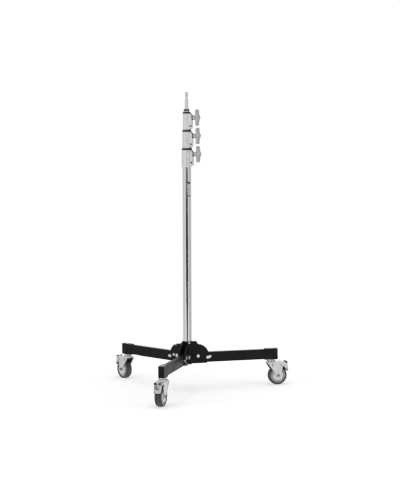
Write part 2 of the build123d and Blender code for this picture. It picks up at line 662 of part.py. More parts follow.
def caster_axles(leg):
    """Wheel axle with head and nut, and the brake pedal's pin: three solids."""
    outer = FORK_INNER + FORK_PLATE
    head = hex_y(12.0, -outer - 4.5, -outer, TRAIL, WHEEL_R)
    axle = head + bar_y(4.0, -outer, outer + 6, TRAIL, WHEEL_R)
    nut = hex_y(12.0, outer, outer + 5, TRAIL, WHEEL_R)
    nut -= bar_y(4.0, outer - 1, outer + 7, TRAIL, WHEEL_R)
    pin = bar_y(PEDAL_PIN_R, -outer - 1.5, outer + 1.5, *PEDAL_PIVOT)
    return [to_caster(piece, leg) for piece in (axle, nut, pin)]


def about_axle(shape):
    """Put a shape turned about Z on the wheel's axle."""
    return Pos(TRAIL, 0, WHEEL_R) * Rot(90, 0, 0) * shape


def wheel_centre(leg):
    """Wheel body with flush side covers, bored for the axle."""
    bore = 4.0 + RUNNING_GAP
    hub_half = FORK_INNER - FREE_GAP
    half = WHEEL_WIDTH / 2
    body = turned(
        (bore, -hub_half), (9.0, -hub_half), (10.0, -half - 0.4),
        (24.0, -half - 0.4), (24.6, -half + 0.2), (25.0, -half + 2.2), (TYRE_INNER_R, -half + 2.2),
        (TYRE_INNER_R, half - 2.2), (25.0, half - 2.2), (24.6, half - 0.2), (24.0, half + 0.4),
        (10.0, half + 0.4), (9.0, hub_half), (bore, hub_half),
    )
    return to_caster(about_axle(body), leg)


def tyre(leg):
    """Rubber tyre with a rounded tread and a shallow step on each side."""
    half = WHEEL_WIDTH / 2
    body = turned(
        (TYRE_INNER_R, -half + 2.2), (32.0, -half + 1.2), (34.5, -half + 1.2), (35.2, -half),
        (WHEEL_R, -half), (WHEEL_R, half), (35.2, half), (34.5, half - 1.2),
        (32.0, half - 1.2), (TYRE_INNER_R, half - 2.2),
    )
    tread_rims = rims(body).filter_by(lambda edge: abs(edge.radius - WHEEL_R) < 0.01)
    return to_caster(about_axle(fillet(tread_rims, 4.6)), leg)


def pedal_outline():
    """Side view of the pedal: a tread with a rolled tip, and a shoe on the tyre."""
    x, z = PEDAL_PIVOT
    shoe = polygon((x + 3, z - 10), (60.0, 66.0), (77.0, 59.0), (80.0, 62.5), (65.0, 78.5), (x + 4, z + 2))
    shoe -= Pos(TRAIL, WHEEL_R) * Circle(WHEEL_R + SHOE_GAP)
    tread = polygon((x + 2, z - 4), (x + 14, z - 4), (69.0, 96.0), (72.0, 98.5), (70.0, 102.0),
                    (66.0, 98.5), (x + 12, z - 1.5), (x + 2, z))
    return shoe + tread + Pos(x, z) * Circle(5.2) + Pos(*PEDAL_TIP) * Circle(4.6)


def pedal_flange_outline():
    """Side view of the flange that closes each side of the pedal, from tip to shoe."""
    x, z = PEDAL_PIVOT
    return polygon((x + 10, z - 8), (x + 10, z - 2), (69.0, 97.0), (73.6, 94.0), (75.0, 79.0),
                   (78.6, 64.0), (65.0, 77.0))


def brake_pedal(leg):
    """Bent brake pedal with side flanges, on a pin between the fork plates."""
    x, z = PEDAL_PIVOT
    half = PEDAL_WIDTH / 2
    body = upright(pedal_outline(), -half, half)
    body = fillet(body.edges().filter_by(Axis.Y).filter_by(lambda edge: edge.center().X > 74), 0.8)
    body += upright(pedal_flange_outline(), -half, -half + PEDAL_FLANGE)
    body += upright(pedal_flange_outline(), half - PEDAL_FLANGE, half)
    body -= bar_y(PEDAL_PIN_R + RUNNING_GAP, -PEDAL_WIDTH, PEDAL_WIDTH, x, z)
    return to_caster(body, leg)


# ======================= assembly =======================

def base_pieces():
    """Pieces of the hub and the legs."""
    pieces = {
        "hub_sleeve": hub_sleeve(),
        "hub_screws": hub_screws(),
        "pivot_bolts": pivot_bolts(),
        "bracket_rivets": bracket_rivets(),
    }
    for leg in LEGS:
        pieces[f"leg_bracket_{leg}"] = leg_bracket(leg)
        pieces[f"leg_tube_{leg}"] = leg_tube(leg)
        pieces[f"caster_socket_{leg}"] = caster_socket(leg)
        pieces[f"lock_pin_{leg}"] = lock_pin(leg)
    return pieces


def caster_pieces():
    """Pieces of the three casters."""
    makers = {"swivel_stem": swivel_stem, "fork": fork, "caster_axles": caster_axles,
              "wheel_centre": wheel_centre, "tyre": tyre, "brake_pedal": brake_pedal}
    return {f"{name}_{leg}": make(leg) for leg in LEGS for name, make in makers.items()}


def mast_pieces():
    """Pieces of the column, the risers and their clamps."""
    pieces = {
        "column_tube": tube(1),
        "column_plug": column_plug(),
        "label_plate": label_plate(),
        "top_bumper": top_bumper(),
        "spigot": spigot(),
    }
    for n in STAGES:
        pieces[f"bush_{n}"] = bush(n)
        pieces[f"collar_{n}"] = collar(n)
        pieces[f"clamp_bolt_{n}"] = clamp_bolt(n)
        pieces[f"clamp_pad_{n}"] = clamp_pad(n)
        pieces[f"t_handle_{n}"] = t_handle(n)
    for n in RISERS:
        pieces[f"riser_tube_{n}"] = tube(n)
        pieces[f"guide_{n}"] = guide(n)
    return pieces


def as_one(piece):
    """Node shape: a group of separate solids where the node holds more than one."""
    if isinstance(piece, list):
        return Compound([solid for part in piece for solid in part.solids()])
    solids = piece.solids()
    return solids[0] if len(solids) == 1 else Compound(list(solids))


def origin_shift(shapes):
    """Move that brings the middle of the bounding box's underside to the origin."""
    box = Compound(shapes).bounding_box()
    return Vector(-(box.min.X + box.max.X) / 2, -(box.min.Y + box.max.Y) / 2, -box.min.Z)


def main():
    """Make every piece, set the origin and write one file for each node."""
    nodes = {name: as_one(piece) for name, piece in
             (mast_pieces() | base_pieces() | caster_pieces()).items()}
    shift = origin_shift(list(nodes.values()))
    print("origin shift", round(shift.X, 4), round(shift.Y, 4), round(shift.Z, 4))
    os.makedirs("parts", exist_ok=True)
    for name, shape in nodes.items():
        export_step(Pos(*shift) * shape, f"parts/{name}.step")


if __name__ == "__main__":
    main()
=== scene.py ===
import json
import math

import bmesh
import bpy
from mathutils import Matrix, Vector


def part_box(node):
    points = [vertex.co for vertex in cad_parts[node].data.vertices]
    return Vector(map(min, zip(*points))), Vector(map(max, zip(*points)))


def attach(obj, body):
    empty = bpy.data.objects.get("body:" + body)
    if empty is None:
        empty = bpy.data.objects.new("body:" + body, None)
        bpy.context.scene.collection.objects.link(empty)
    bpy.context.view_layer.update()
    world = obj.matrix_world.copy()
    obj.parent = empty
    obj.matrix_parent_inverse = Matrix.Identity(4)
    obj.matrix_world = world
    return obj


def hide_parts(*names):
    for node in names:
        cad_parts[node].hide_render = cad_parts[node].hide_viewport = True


# The look of a roller stand: chrome column, black folding legs, braked casters.
# Metres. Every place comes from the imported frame's boxes and joints.

MM = 0.001
LEGS = ("right", "left", "front")
STAGES = (1, 2, 3)

# Camera: the viewing angle, measured from the column's foot
CAMERA_AZIMUTH = math.radians(14.3)      # turned from looking along +Y
CAMERA_DISTANCE = 5.438
CAMERA_SIDE = 0.0576                     # beside the column, to the right
CAMERA_HEIGHT = 0.9776
CAMERA_TILT = math.radians(3.745)
CAMERA_ROLL = math.radians(-0.17)
CAMERA_LENS = 88.25                      # millimetres, on a 36 mm sensor

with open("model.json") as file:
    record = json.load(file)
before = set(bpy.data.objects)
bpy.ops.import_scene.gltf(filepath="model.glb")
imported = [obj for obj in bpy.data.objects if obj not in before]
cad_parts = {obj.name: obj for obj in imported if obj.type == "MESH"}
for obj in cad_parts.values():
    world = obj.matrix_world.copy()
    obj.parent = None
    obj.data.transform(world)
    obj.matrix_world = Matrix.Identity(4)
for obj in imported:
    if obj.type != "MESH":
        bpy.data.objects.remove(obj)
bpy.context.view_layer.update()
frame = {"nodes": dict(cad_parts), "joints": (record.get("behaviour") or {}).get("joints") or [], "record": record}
joints = {joint["name"]: joint for joint in frame["joints"]}


def middle(node):
    """Centre of a node's box."""
    low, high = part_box(node)
    return (Vector(low) + Vector(high)) / 2


COLUMN = middle("column_tube")
COLUMN.z = 0.0
TOWARD_CAMERA = Vector((math.sin(CAMERA_AZIMUTH), -math.cos(CAMERA_AZIMUTH), 0))
CAMERA_RIGHT = Vector((math.cos(CAMERA_AZIMUTH), math.sin(CAMERA_AZIMUTH), 0))


# ======================= camera, floor and light =======================

def make_camera():
    """Long lens, almost level, a little below the top of the column."""
    data = bpy.data.cameras.new("camera")
    data.lens = CAMERA_LENS
    data.clip_end = 100
    camera = bpy.data.objects.new("camera", data)
    bpy.context.collection.objects.link(camera)
    camera.location = COLUMN + TOWARD_CAMERA * CAMERA_DISTANCE + CAMERA_RIGHT * CAMERA_SIDE
    camera.location.z = CAMERA_HEIGHT
    turned = Matrix.Rotation(CAMERA_AZIMUTH, 4, "Z") @ Matrix.Rotation(math.pi / 2 - CAMERA_TILT, 4, "X")
    camera.rotation_euler = (turned @ Matrix.Rotation(CAMERA_ROLL, 4, "Z")).to_euler()
    bpy.context.scene.camera = camera


def make_floor():
    """White floor that only shows the faint shade under the stand."""
    mesh = bpy.data.meshes.new("floor")
    shape = bmesh.new()
    bmesh.ops.create_circle(shape, cap_ends=True, segments=96, radius=1.75)
    shape.to_mesh(mesh)
    shape.free()
    floor = bpy.data.objects.new("floor", mesh)
    bpy.context.collection.objects.link(floor)
    floor.location = COLUMN + TOWARD_CAMERA * 0.75
    floor.location.z = -0.0004
    floor.data.materials.append(MATERIALS["floor"])
    floor.is_shadow_catcher = True
    floor.visible_glossy = False


def area_light(name, place, aim, size, power):
    """Soft box that faces a point."""
    data = bpy.data.lights.new(name, "AREA")
    data.shape = "RECTANGLE"
    data.size, data.size_y = size
    data.energy = power
    light = bpy.data.objects.new(name, data)
    bpy.context.collection.objects.link(light)
    light.location = place
    light.rotation_euler = (Vector(place) - Vector(aim)).to_track_quat("Z", "Y").to_euler()
    light.visible_camera = False
    light.visible_glossy = False
    return light


def make_lights():
    """Broad top light with softer light from both sides."""
    aim = COLUMN + Vector((0, 0, 0.5))
    top = COLUMN + Vector((0, 0, 4.0))
    left = COLUMN - CAMERA_RIGHT * 3.5 + TOWARD_CAMERA * 2.0 + Vector((0, 0, 2.2))
    right = COLUMN + CAMERA_RIGHT * 3.5 + TOWARD_CAMERA * 1.5 + Vector((0, 0, 2.0))
    area_light("top_light", top, aim, (4.0, 4.0), 190)
    area_light("left_light", left, aim, (2.0, 2.5), 60)
    area_light("right_light", right, aim, (2.0, 2.5), 50)


def math_node(tree, operation, a, b=None, clamp=False):
    """Math node whose inputs are sockets or numbers."""
    node = tree.nodes.new("ShaderNodeMath")
    node.operation = operation
    node.use_clamp = clamp
    for slot, value in zip(node.inputs, (a, b)):
        if value is None:
            continue
        if isinstance(value, (int, float)):
            slot.default_value = value
        else:
            tree.links.new(value, slot)
    return node.outputs[0]


def smooth_range(tree, value, low, high, to_low=0.0, to_high=1.0):
    """Smooth step from one number to another while value goes from low to high."""
    node = tree.nodes.new("ShaderNodeMapRange")
    node.interpolation_type = "SMOOTHSTEP"
    tree.links.new(value, node.inputs["Value"])
    for name, number in (("From Min", low), ("From Max", high), ("To Min", to_low), ("To Max", to_high)):
        if isinstance(number, (int, float)):
            node.inputs[name].default_value = number
        else:
            tree.links.new(number, node.inputs[name])
    return node.outputs["Result"]


def dot(tree, vector, direction):
    """Component of a vector along a fixed direction."""
    node = tree.nodes.new("ShaderNodeVectorMath")
    node.operation = "DOT_PRODUCT"
    tree.links.new(vector, node.inputs[0])
    node.inputs[1].default_value = direction
    return node.outputs["Value"]


# The room that bright metal reflects: its brightness at azimuths from the camera side,
# negative to the left, and a dark gap straight towards the camera
ROOM = ((-180, 1.00), (-125, 1.00), (-105, 0.76), (-60, 0.80), (-38, 1.14), (0, 1.14),
        (38, 1.08), (55, 0.66), (110, 0.60), (125, 1.00), (180, 1.00))
GAP_LEVEL = 0.03
GAP_WIDE = math.radians(33)
GAP_NARROW = math.radians(17)
GAP_SLIT = math.radians(4)


def round_the_room(tree, azimuth):
    """Brightness of the room's walls at an azimuth in radians."""
    ramp = tree.nodes.new("ShaderNodeValToRGB")
    place = math_node(tree, "MULTIPLY_ADD", azimuth, 0.5 / math.pi)
    place.node.inputs[2].default_value = 0.5
    tree.links.new(place, ramp.inputs["Fac"])
    stops = ramp.color_ramp.elements
    for angle, level in ROOM[1:-1]:
        stops.new((angle + 180) / 360)
    for stop, (angle, level) in zip(stops, ROOM):
        stop.position = (angle + 180) / 360
        stop.color = (level, level, level, 1)
    return ramp.outputs["Color"]


def make_world():
    """White to the eye; to reflections, a pale room with a dark gap on one side."""
    world = bpy.data.worlds.new("studio")
    bpy.context.scene.world = world
    world.use_nodes = True
    tree = world.node_tree
    tree.nodes.clear()
    out = tree.nodes.new("ShaderNodeOutputWorld")
    seen = tree.nodes.new("ShaderNodeBackground")
    seen.inputs["Color"].default_value = (1, 1, 1, 1)
    seen.inputs["Strength"].default_value = 1.02
    room = tree.nodes.new("ShaderNodeBackground")
    path = tree.nodes.new("ShaderNodeLightPath")
    mix = tree.nodes.new("ShaderNodeMixShader")
    direction = tree.nodes.new("ShaderNodeTexCoord").outputs["Generated"]
    toward = dot(tree, direction, TOWARD_CAMERA)
    side = dot(tree, direction, CAMERA_RIGHT)
    height = dot(tree, direction, (0, 0, 1))
    azimuth = math_node(tree, "ARCTAN2", side, toward)
    off_axis = math_node(tree, "ABSOLUTE", azimuth)
    low_part = smooth_range(tree, height, -0.13, -0.09, GAP_NARROW, GAP_WIDE)
    top_part = smooth_range(tree, height, 0.004, 0.009, 1.0, 0.0)
    width = math_node(tree, "MAXIMUM", math_node(tree, "MULTIPLY", low_part, top_part), GAP_SLIT)
    inner = math_node(tree, "MULTIPLY", width, 0.85)
    gap = smooth_range(tree, off_axis, inner, width, GAP_LEVEL, 1.0)
    high_up = smooth_range(tree, height, 0.02, 0.06, 0.0, 1.0)
    open_gap = math_node(tree, "MAXIMUM", gap, high_up)
    brightness = math_node(tree, "MULTIPLY", round_the_room(tree, azimuth), open_gap)
    tree.links.new(brightness, room.inputs["Strength"])
    tree.links.new(path.outputs["Is Camera Ray"], mix.inputs["Fac"])
    tree.links.new(room.outputs[0], mix.inputs[1])
    tree.links.new(seen.outputs[0], mix.inputs[2])
    tree.links.new(mix.outputs[0], out.inputs["Surface"])


# ======================= materials =======================

def new_material(name):
    """Empty material: returns it, its node tree and its surface shader."""
    material = bpy.data.materials.new(name)
    material.use_nodes = True
    tree = material.node_tree
    return material, tree, tree.nodes["Principled BSDF"]


def object_place(tree, stretch=(1, 1, 1)):
    """Object coordinates, in metres, stretched along the axes."""
    place = tree.nodes.new("ShaderNodeTexCoord").outputs["Object"]
    scale = tree.nodes.new("ShaderNodeMapping")
    scale.inputs["Scale"].default_value = stretch
    tree.links.new(place, scale.inputs["Vector"])
    return scale.outputs["Vector"]


def noise(tree, place, size, detail=3.0, roughness=0.55):
    """Noise whose main features are about size metres across."""
    node = tree.nodes.new("ShaderNodeTexNoise")
    node.inputs["Scale"].default_value = 1 / size
    node.inputs["Detail"].default_value = detail
    node.inputs["Roughness"].default_value = roughness
    tree.links.new(place, node.inputs["Vector"])
    return node.outputs["Fac"]


def blend_colours(tree, factor, first, second):
    """Mix of two colours by a factor."""
    node = tree.nodes.new("ShaderNodeMix")
    node.data_type = "RGBA"
    tree.links.new(factor, node.inputs["Factor"])
    for slot, colour in ((node.inputs["A"], first), (node.inputs["B"], second)):
        if isinstance(colour, tuple):
            slot.default_value = (*colour, 1)
        else:
            tree.links.new(colour, slot)
    return node.outputs["Result"]


def grey(level, warmth=0.0):
    """Near-neutral colour."""
    return level * (1 + warmth), level, level * (1 - warmth)


def bump(tree, shader, height, depth, strength=1.0, under=None):
    """Push the surface by height times depth metres."""
    node = tree.nodes.new("ShaderNodeBump")
    node.inputs["Strength"].default_value = strength
    node.inputs["Distance"].default_value = depth
    tree.links.new(height, node.inputs["Height"])
    if under is not None:
        tree.links.new(under, node.inputs["Normal"])
    tree.links.new(node.outputs["Normal"], shader.inputs["Normal"])
    return node.outputs["Normal"]


def edge_mask(tree, radius):
    """1 on edges sharper than the radius, 0 on flat faces."""
    rounded = tree.nodes.new("ShaderNodeBevel")
    rounded.samples = 4
    rounded.inputs["Radius"].default_value = radius
    plain = tree.nodes.new("ShaderNodeNewGeometry")
    compare = tree.nodes.new("ShaderNodeVectorMath")
    compare.operation = "DOT_PRODUCT"
    tree.links.new(rounded.outputs["Normal"], compare.inputs[0])
    tree.links.new(plain.outputs["Normal"], compare.inputs[1])
    return smooth_range(tree, compare.outputs["Value"], 0.98, 0.8, 0.0, 1.0)


def bare_metal(name, level, rough_low, rough_high, grain, depth, stretch=(1, 1, 1), warmth=0.0):
    """Metal with mottled gloss and a fine surface texture of a given grain size."""
    material, tree, shader = new_material(name)
    place = object_place(tree, stretch)
    mottle = noise(tree, place, grain * 14, 4.0)
    fine = noise(tree, place, grain, 2.0)
    tone = blend_colours(tree, smooth_range(tree, mottle, 0.35, 0.65), grey(level * 0.93, warmth),
                         grey(min(level * 1.05, 0.97), warmth))
    tree.links.new(tone, shader.inputs["Base Color"])
    tree.links.new(smooth_range(tree, mottle, 0.3, 0.7, rough_low, rough_high), shader.inputs["Roughness"])
    shader.inputs["Metallic"].default_value = 1.0
    bump(tree, shader, fine, depth)
    return material


def chrome():
    """Polished chrome plate with faint draw lines along the tube and light smears."""
    material, tree, shader = new_material("chrome_plate")
    lines = noise(tree, object_place(tree, (1, 1, 0.02)), 0.0012, 2.0)
    smears = noise(tree, object_place(tree, (1, 1, 0.35)), 0.03, 5.0, 0.65)
    rough = math_node(tree, "ADD", smooth_range(tree, smears, 0.35, 0.75, 0.05, 0.13),
                      smooth_range(tree, lines, 0.3, 0.7, 0.0, 0.035))
    tree.links.new(rough, shader.inputs["Roughness"])
    tone = blend_colours(tree, smears, grey(0.80, -0.004), grey(0.88, 0.0))
    tree.links.new(tone, shader.inputs["Base Color"])
    shader.inputs["Metallic"].default_value = 1.0
    bump(tree, shader, lines, 0.000003)
    return material


def painted(name, level, rough_low, rough_high, peel, depth, wear_level, warmth=0.0):
    """Powder-coated steel: orange-peel skin, mottled gloss, edges rubbed paler."""
    material, tree, shader = new_material(name)
    place = object_place(tree)
    skin = noise(tree, place, peel, 2.0)
    patches = noise(tree, place, 0.05, 4.0)
    rubs = noise(tree, place, 0.006, 4.0, 0.7)
    base = blend_colours(tree, patches, grey(level * 0.8, warmth), grey(level * 1.25, warmth))
    edges = math_node(tree, "MULTIPLY", edge_mask(tree, 0.0009), smooth_range(tree, rubs, 0.45, 0.62))
    tree.links.new(blend_colours(tree, edges, base, grey(wear_level)), shader.inputs["Base Color"])
    gloss = smooth_range(tree, patches, 0.3, 0.7, rough_low, rough_high)
    tree.links.new(gloss, shader.inputs["Roughness"])
    shader.inputs["Specular IOR Level"].default_value = 0.08
    bump(tree, shader, skin, depth)
    return material


def moulded(name, level, rough, grain, depth, dust=0.0):
    """Moulded plastic or rubber with a fine matt grain and a little dust."""
    material, tree, shader = new_material(name)
    place = object_place(tree)
    fine = noise(tree, place, grain, 3.0)
    broad = noise(tree, place, 0.02, 4.0, 0.6)
    base = blend_colours(tree, smooth_range(tree, broad, 0.4, 0.7), grey(level), grey(level + dust, 0.01))
    tree.links.new(base, shader.inputs["Base Color"])
    tree.links.new(smooth_range(tree, broad, 0.3, 0.7, rough * 0.85, min(rough * 1.15, 1.0)),
                   shader.inputs["Roughness"])
    bump(tree, shader, fine, depth)
    return material


def floor_paint():
    """Matt white floor, lit through so that shade stays faint."""
    material, tree, shader = new_material("floor_paint")
    scuffs = noise(tree, object_place(tree), 0.4, 3.0)
    tree.links.new(blend_colours(tree, scuffs, grey(0.90), grey(0.92)), shader.inputs["Base Color"])
    shader.inputs["Roughness"].default_value = 0.85
    shader.inputs["Specular IOR Level"].default_value = 0.1
    shader.inputs["Emission Color"].default_value = (1, 1, 1, 1)
    shader.inputs["Emission Strength"].default_value = 1.1
    return material


def label_film():
    """Grey film with a dark band near each end; nothing is written on it."""
    material, tree, shader = new_material("label_film")
    low, high = (corner[2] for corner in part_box("label_plate"))
    height = tree.nodes.new("ShaderNodeSeparateXYZ")
    tree.links.new(object_place(tree), height.inputs[0])
    top_band = smooth_range(tree, height.outputs["Z"], high - 0.0085, high - 0.0078)
    foot_band = smooth_range(tree, height.outputs["Z"], low + 0.0048, low + 0.0040)
    mottle = noise(tree, object_place(tree), 0.004, 3.0)
    film = blend_colours(tree, mottle, grey(0.22), grey(0.27))
    bands = math_node(tree, "MAXIMUM", top_band, foot_band)
    tree.links.new(blend_colours(tree, bands, film, grey(0.008)), shader.inputs["Base Color"])
    tree.links.new(smooth_range(tree, mottle, 0.3, 0.7, 0.3, 0.42), shader.inputs["Roughness"])
    bump(tree, shader, mottle, 0.000004)
    return material


MATERIALS = {
    "chrome": chrome(),
    "cast_alloy": bare_metal("bright_casting", 0.90, 0.40, 0.52, 0.0009, 0.00002),
    "handle_alloy": bare_metal("grey_casting", 0.60, 0.42, 0.55, 0.0009, 0.00004, warmth=0.005),
    "black_paint": painted("black_powder_coat", 0.0055, 0.24, 0.34, 0.0011, 0.00002, 0.07, 0.0008),
    "black_plastic": moulded("black_moulding", 0.010, 0.42, 0.0005, 0.00001, 0.005),
    "black_rubber": moulded("black_rubber", 0.010, 0.6, 0.0004, 0.00002, 0.006),
    "spigot_steel": bare_metal("satin_steel", 0.86, 0.26, 0.38, 0.0004, 0.000006, (1, 1, 12)),
    # dark steel used only on the wheel axles: painted shade at each wheel's centre
    "axle_shade_steel": bare_metal("axle_shade_steel", 0.32, 0.30, 0.45, 0.0006, 0.00001),
    "zinc_bolt": bare_metal("bright_zinc", 0.88, 0.20, 0.32, 0.0006, 0.00001),
    "black_bolt": painted("black_oxide", 0.012, 0.3, 0.45, 0.0004, 0.000005, 0.12),
    "brass_pad": bare_metal("brass", 0.55, 0.25, 0.4, 0.0005, 0.00001, warmth=0.35),
    "label": label_film(),
    "zinc_plate": bare_metal("zinc_plate", 0.82, 0.26, 0.40, 0.0008, 0.000015),
    "wheel_grey": moulded("wheel_moulding", 0.14, 0.45, 0.0006, 0.00001, 0.04),
    "wheel_cover": moulded("cover_moulding", 0.33, 0.40, 0.0006, 0.00001, 0.05),
    "tyre": moulded("tyre_rubber", 0.017, 0.55, 0.0005, 0.00002, 0.02),
    "floor": floor_paint(),
}


def dress_frame():
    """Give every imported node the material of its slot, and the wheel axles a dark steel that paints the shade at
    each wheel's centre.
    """
    for part in frame["record"]["subparts"]:
        data = frame["nodes"][part["node"]].data
        # the wheel axles get the dark steel so each wheel's centre shows dark: painted shade
        shaded_axle = part["node"].startswith("caster_axles")
        data.materials.clear()
        data.materials.append(MATERIALS["axle_shade_steel" if shaded_axle else part["material_slot"]])


# ======================= building blocks for pieces =======================

def frame_matrix(origin, out, up=Vector((0, 0, 1))):
    """Axes with X along out and Z up, at an origin."""
    out = out.normalized()
    side = up.cross(out)
    matrix = Matrix((out, side, up)).transposed().to_4x4()
    matrix.translation = origin
    return matrix


def knob_frame(n):
    """X outward along clamp n's axis, from the column's axis."""
    joint = joints[f"handle_{n}_turn"]
    return frame_matrix(Vector((COLUMN.x, COLUMN.y, joint["pos_m"][2])), Vector(joint["axis"]))


def leg_frame(leg):
    """X outward along a leg, from the foot of the column's axis."""
    fold = joints[f"leg_{leg}_fold"]["axis"]
    return frame_matrix(COLUMN.copy(), Vector((-fold[1], fold[0], 0)))


def caster_frame(leg):
    """X along the wheel's trail, from the foot of the swivel axis."""
    stem = Vector(joints[f"caster_{leg}_swivel"]["pos_m"])
    axle = Vector(joints[f"wheel_{leg}_roll"]["pos_m"])
    stem.z = axle.z = 0.0
    return frame_matrix(stem, axle - stem)


def add_piece(name, shape, slot, body, place=None, replaces=(), material=None, sharp=32):
    """Turn a bmesh in millimetres into a named piece that rides on a body."""
    bmesh.ops.recalc_face_normals(shape, faces=shape.faces)
    mesh = bpy.data.meshes.new(name)
    shape.to_mesh(mesh)
    shape.free()
    mesh.transform((place or Matrix.Identity(4)) @ Matrix.Scale(MM, 4))
    mesh.materials.append(material or MATERIALS[slot])
    mesh.shade_smooth()
    mesh.set_sharp_from_angle(angle=math.radians(sharp))
    piece = bpy.data.objects.new(name, mesh)
    bpy.context.collection.objects.link(piece)
    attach(piece, body)
    if replaces:
        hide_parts(*replaces)
    return piece


def bridge(shape, rings, closed=False):
    """Skin a row of equal rings of points and cap its two ends."""
    rows = [[shape.verts.new(point) for point in ring] for ring in rings]
    count = len(rows[0])
    pairs = list(zip(rows, rows[1:])) + ([(rows[-1], rows[0])] if closed else [])
    for first, second in pairs:
        for i in range(count):
            j = (i + 1) % count
            shape.faces.new((first[i], first[j], second[j], second[i]))
    if not closed:
        shape.faces.new(rows[0])
        shape.faces.new(list(reversed(rows[-1])))


def lathe(shape, profile, segments=48, axis="Z", offset=(0, 0, 0), closed=False):
    """Turn a profile of (radius, height) round an axis; a closed profile makes a ring."""
    rings = []
    for radius, height in profile:
        ring = []
        for i in range(segments):
            turn = 2 * math.pi * i / segments
            a, b = radius * math.cos(turn), radius * math.sin(turn)
            point = {"X": (height, a, b), "Y": (a, height, b), "Z": (a, b, height)}[axis]
            ring.append(Vector(point) + Vector(offset))
        rings.append(ring)
    bridge(shape, rings, closed)


def smoothstep(value, low, high):
    """0 below low, 1 above high, smooth between."""
    t = min(max((value - low) / (high - low), 0), 1)
    return t * t * (3 - 2 * t)


def superellipse(half_a, half_b, power, count):
    """Rounded-rectangle ring of points in a plane."""
    points = []
    for i in range(count):
        turn = 2 * math.pi * i / count
        a, b = math.cos(turn), math.sin(turn)
        points.append((math.copysign(abs(a) ** (2 / power), a) * half_a,
                       math.copysign(abs(b) ** (2 / power), b) * half_b))
    return points


def applied(piece, *modifiers):
    """Add modifiers given as (type, {setting: value}) and bake them into the mesh."""
    for kind, settings in modifiers:
        modifier = piece.modifiers.new(kind.lower(), kind)
        for key, value in settings.items():
            setattr(modifier, key, value)
    depsgraph = bpy.context.evaluated_depsgraph_get()
    mesh = bpy.data.meshes.new_from_object(piece.evaluated_get(depsgraph))
    old = piece.data
    piece.modifiers.clear()
    piece.data = mesh
    bpy.data.meshes.remove(old)
    mesh.shade_smooth()


# ======================= T-handles =======================

LUG_REACH = {1: 32.5, 2: 30.5, 3: 28.5}   # millimetres from the column's axis
BOSS_LENGTH = 4.0
HANDLE_REACH = 23.2       # arms' middle, beyond the lug face
HANDLE_HUB_LENGTH = 12.0  # hub beyond the arms' middle
HANDLE_HALF = 35.7        # half the height over both arms
HANDLE_VOXEL = 0.75


def handle_casting(n):
    """T-handle cast in one piece: broad arms that swell into a round hub."""
    middle = LUG_REACH[n] + HANDLE_REACH
    inner = LUG_REACH[n] + BOSS_LENGTH + 0.4
    outer = middle + HANDLE_HUB_LENGTH
    shape = bmesh.new()
    rings = []
    for step in range(-20, 21):
        height = HANDLE_HALF * math.sin(math.pi / 2 * step / 20)
        reach = abs(height)
        rounding = math.sqrt(max(1 - max((reach - 32.2) / 3.6, 0) ** 2, 0.1))
        width = (10.0 + 1.4 * smoothstep(reach, 12, 33)) * (0.35 + 0.65 * rounding)
        back = (7.5 - 0.5 * smoothstep(reach, 8, 22)) * (0.35 + 0.65 * rounding)
        front = back + 3.6 * (1 - smoothstep(reach, 5, 24))
        ring = superellipse(1, width, 3.4, 44)
        rings.append([Vector((middle + a * (front if a > 0 else back), b, height)) for a, b in ring])
    bridge(shape, rings)
    lathe(shape, [(9.4, inner), (10.2, inner + 0.9), (10.2, inner + 8), (10.4, inner + 14), (10.4, outer - 4),
                  (9.8, outer - 1), (8.6, outer), (5.4, outer), (4.9, outer - 2.4)], 48, "X")
    casting = add_piece(f"handle_casting_{n}", shape, "handle_alloy", f"handle_{n}", knob_frame(n),
                        replaces=[f"t_handle_{n}"])
    applied(casting, ("REMESH", {"mode": "VOXEL", "voxel_size": HANDLE_VOXEL * MM, "use_smooth_shade": True}),
            ("SMOOTH", {"factor": 0.5, "iterations": 4}))
    return casting


def handle_stud(n):
    """Threaded stud between the handle and the pad, and its slotted end in the hub."""
    boss_end = LUG_REACH[n] + BOSS_LENGTH
    shape = bmesh.new()
    profile = [(2.4, 20.6), (2.4, 22.9), (3.5, 22.9)]
    start = 23.0
    while start + 1.6 < boss_end:
        profile += [(3.95, start + 0.35), (3.95, start + 0.6), (3.4, start + 1.2)]
        start += 1.5
    profile += [(3.95, boss_end), (3.95, boss_end + 1.5)]
    lathe(shape, profile, 32, "X")
    add_piece(f"handle_stud_{n}", shape, "zinc_bolt", f"handle_{n}", knob_frame(n))
    end = bmesh.new()
    outer = LUG_REACH[n] + HANDLE_REACH + HANDLE_HUB_LENGTH
    lathe(end, [(4.6, outer - 2.6), (4.6, outer - 1.5), (4.1, outer - 1.1), (2.2, outer - 1.1),
                (2.0, outer - 2.3)], 32, "X")
    add_piece(f"handle_screw_{n}", end, "black_bolt", f"handle_{n}", knob_frame(n))


def boss_shade_ring(n):
    """Black ring round the boss between the collar and the handle; it gives the dark line of the shaded gap there:
    painted shade.
    """
    holder = "base" if n == 1 else f"riser_{n}"
    face = LUG_REACH[n]
    shape = bmesh.new()
    lathe(shape, [(9.05, face + 0.1), (10.3, face + 0.1), (10.9, face + 0.7), (10.9, face + 2.3),
                  (10.3, face + 2.9), (9.05, face + 2.9)], 48, "X", closed=True)
    add_piece(f"boss_shade_ring_{n}", shape, "black_plastic", holder, knob_frame(n))


def make_handles():
    """All three clamps' handles."""
    for n in STAGES:
        handle_casting(n)
        handle_stud(n)
        boss_shade_ring(n)


# ======================= casters =======================

TRAIL = 30.0              # axle behind the stem
WHEEL_R = 42.0
WHEEL_HALF = 14.0
PEDAL_PIVOT = (43.0, 88.0)
PEDAL_TIP = (70.6, 99.7)
PEDAL_HALF = 14.2         # half the width of the pedal's plate
PEDAL_SHEET = 2.4         # its thickness
FLANGE_INNER = 12.2
# the black shoe is partly a real brake shoe and partly painted shade under the pedal's plate
BLOCK_HALF = 13.2         # half the width of the black shoe
# faces of the black strips that paint the shade in the fork plates' slots
SHADE_STRIP_FACES = (16.2, 16.8)


